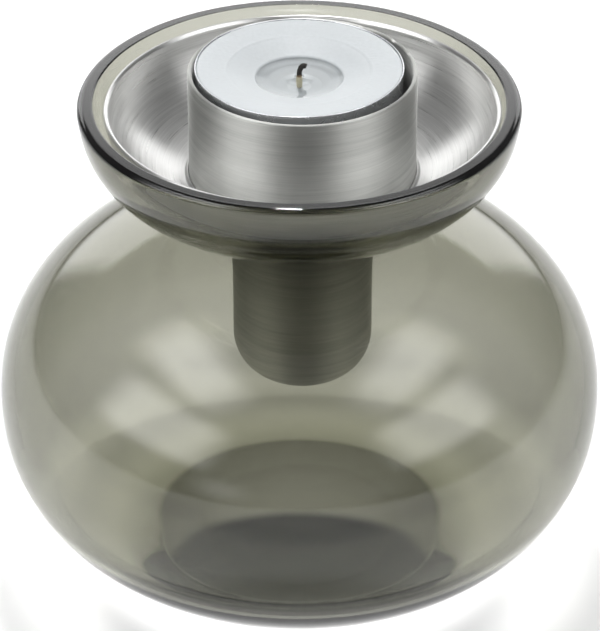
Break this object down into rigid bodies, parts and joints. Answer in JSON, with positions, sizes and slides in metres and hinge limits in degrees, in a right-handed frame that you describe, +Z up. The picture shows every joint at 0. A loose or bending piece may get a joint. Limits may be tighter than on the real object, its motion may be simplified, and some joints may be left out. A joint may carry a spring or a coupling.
{
  "type": "tealight candlestick",
  "caption": "Rounded smoked-glass candle holder with a flared bowl on its neck, and a brushed-steel insert with a drip dish, tealight cup and taper socket.",
  "frame": {"origin": "centre of the foot, in the plane that the glass stands on", "axes": "+Z up along the axis of the glass, +Y away from the usual viewer, +X to the viewer's right"},
  "size_m": [0.115, 0.115, 0.1045],
  "materials": {
    "smoked_glass": "clear polished smoke-grey glass with an olive cast",
    "brushed_steel": "spun stainless steel, brushed round the axis, polished edges",
    "ring_rubber": "matt black silicone",
    "can_aluminium": "thin bright aluminium with a rolled rim",
    "candle_wax": "white paraffin wax, frosted outside and clear in the melted pool",
    "wick_cotton": "braided cotton, pale at the foot and charred at the tip",
    "tab_steel": "tinned steel tab"
  },
  "bodies": {
    "glass": {"glass_body": "smoked_glass"},
    "insert": {"drip_dish": "brushed_steel", "tealight_cup": "brushed_steel", "taper_socket": "brushed_steel", "seat_ring": "ring_rubber"},
    "tealight": {"tealight_can": "can_aluminium", "wax": "candle_wax", "wick": "wick_cotton", "wick_sustainer": "tab_steel"}
  },
  "joints": [
    {"name": "insert_lift", "type": "slide", "parent": "glass", "child": "insert", "axis": [0, 0, 1], "range_m": [0, 0.065]},
    {"name": "tealight_lift", "type": "slide", "parent": "insert", "child": "tealight", "axis": [0, 0, 1], "range_m": [0, 0.03]}
  ]
}
